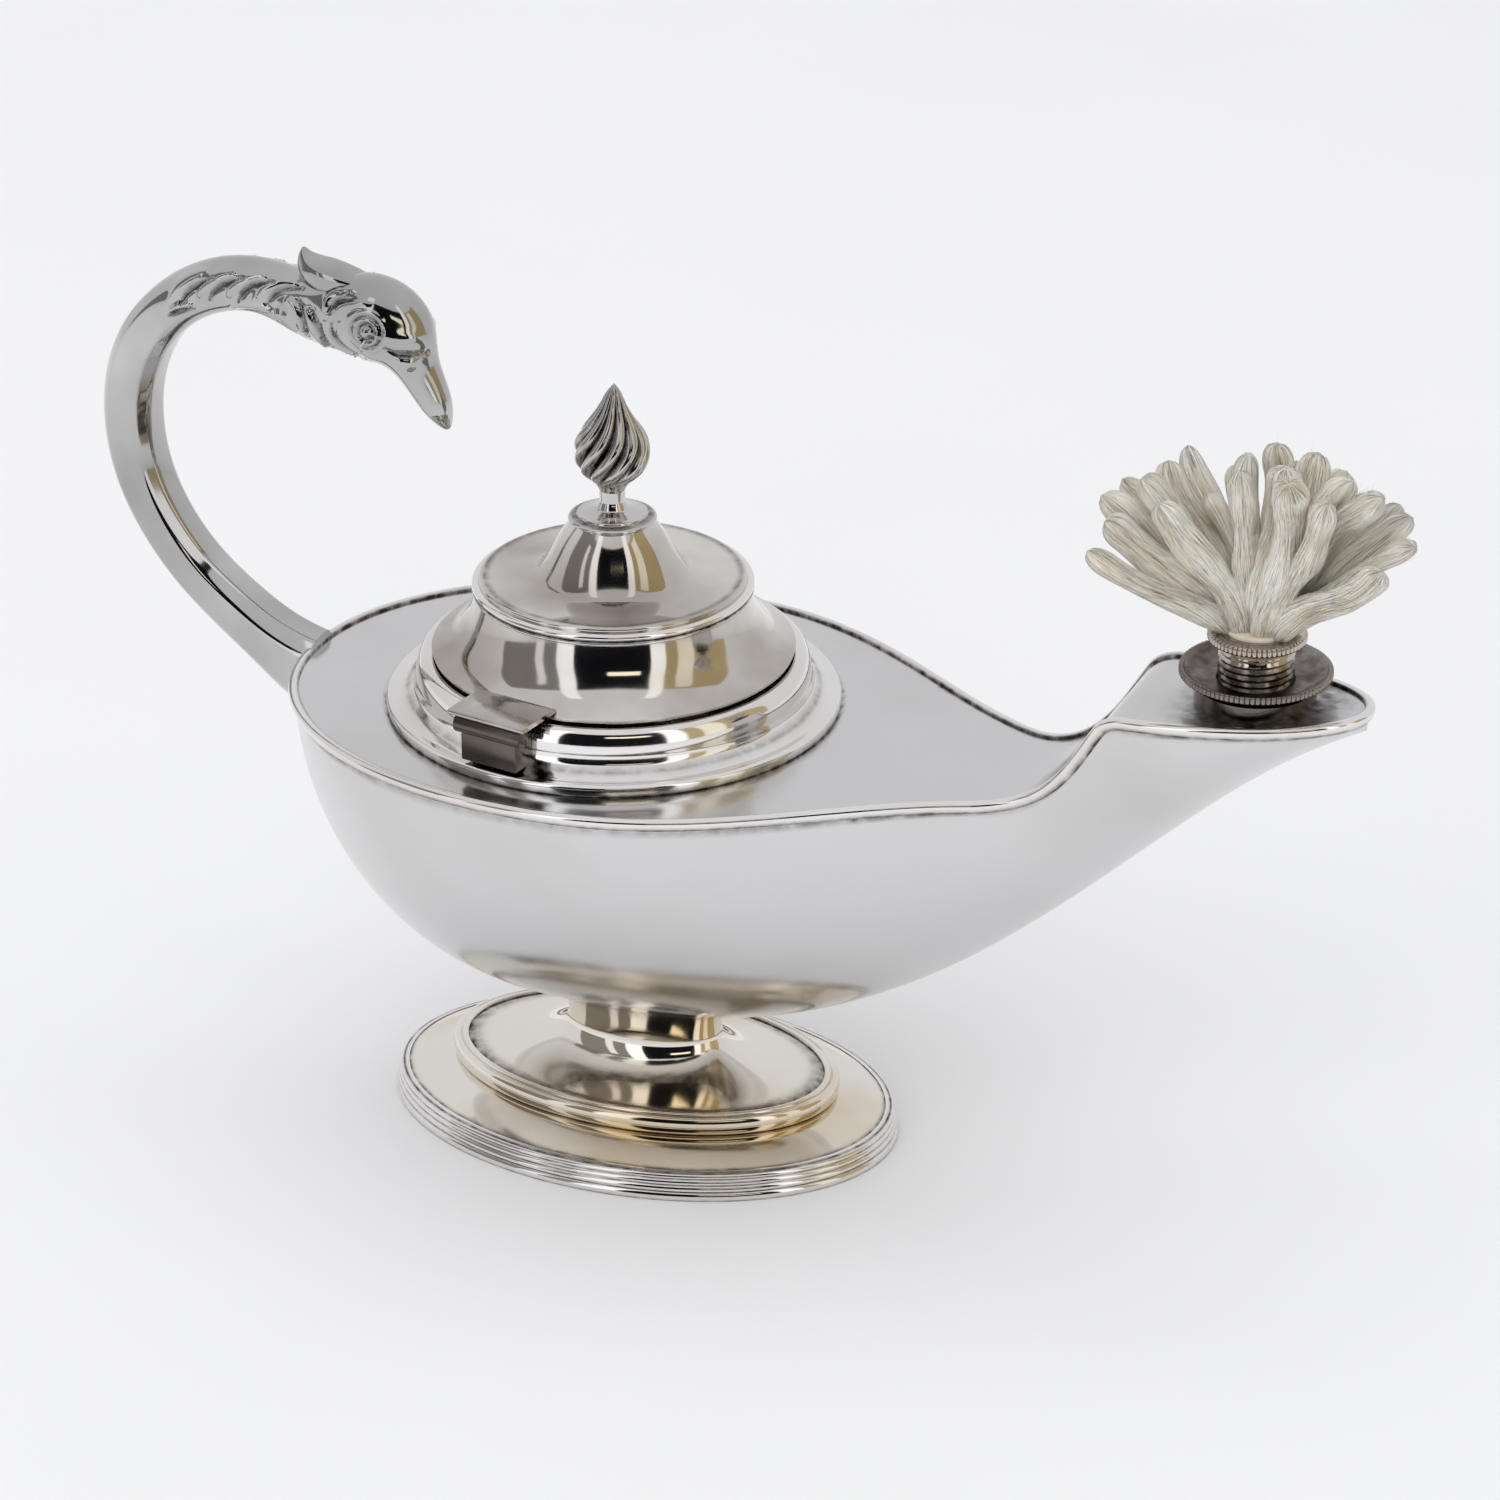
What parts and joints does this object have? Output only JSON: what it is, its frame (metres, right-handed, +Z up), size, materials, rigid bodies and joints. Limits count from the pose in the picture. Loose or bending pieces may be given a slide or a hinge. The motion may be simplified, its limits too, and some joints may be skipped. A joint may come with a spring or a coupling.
{
  "type": "oil lamp",
  "caption": "Boat-shaped table oil lamp: oval stepped foot, keeled bowl, swan-neck handle, hinged bell lid with flame finial, screw-in burner with cotton wick.",
  "frame": {"origin": "centre of the oval foot, on the plane the lamp stands on", "axes": "+X towards the spout, +Z up, the lid hinge on the -Y side"},
  "size_m": [0.2111, 0.0832, 0.1352],
  "materials": {
    "silver_plate": "mirror-polished silver plate on brass, lightly worn",
    "cast_silver": "cast and chased, silver-plated, dark in the hollows",
    "tarnished_silver": "dark, sooted silver plate",
    "threaded_nickel": "turned and screw-cut, dull",
    "bare_brass": "unplated",
    "cotton_wick": "loose-spun cotton roving"
  },
  "bodies": {
    "root": {"foot_base": "silver_plate", "foot_reeded_rim": "silver_plate", "foot_pedestal": "silver_plate", "hull_bowl": "silver_plate", "deck_plate": "silver_plate", "deck_rim_wire": "silver_plate", "filler_collar": "silver_plate", "hinge_fixed_leaf": "silver_plate", "hinge_pin": "silver_plate", "swan_handle": "cast_silver", "burner_seat": "tarnished_silver", "wick_tail": "cotton_wick"},
    "lid": {"lid_skirt": "silver_plate", "lid_bead_wire": "silver_plate", "lid_cap": "silver_plate", "lid_bezel": "silver_plate", "hinge_lid_leaf": "silver_plate", "finial_flame": "cast_silver", "finial_nut": "bare_brass"},
    "wick": {"wick_core": "cotton_wick", "wick_tuft": "cotton_wick"},
    "burner": {"wick_tube": "threaded_nickel", "drip_dish": "tarnished_silver", "burner_cap": "tarnished_silver"}
  },
  "joints": [
    {"name": "lid_hinge", "type": "hinge", "parent": "root", "child": "lid", "pos_m": [-0.00989, -0.03279, 0.0773], "axis": [0.9877, -0.1564, 0], "range_deg": [0, 105]},
    {"name": "burner_lift", "type": "slide", "parent": "root", "child": "wick", "axis": [0, 0, 1], "range_m": [0, 0.0031]},
    {"name": "burner_turn", "type": "hinge", "parent": "wick", "child": "burner", "pos_m": [0.0969, 0, 0.0905], "axis": [0, 0, 1], "range_deg": [0, 1080]}
  ],
  "couplings": [
    {"joint": "burner_lift", "follows": "burner_turn", "m_per_rad": 0.00015915}
  ]
}
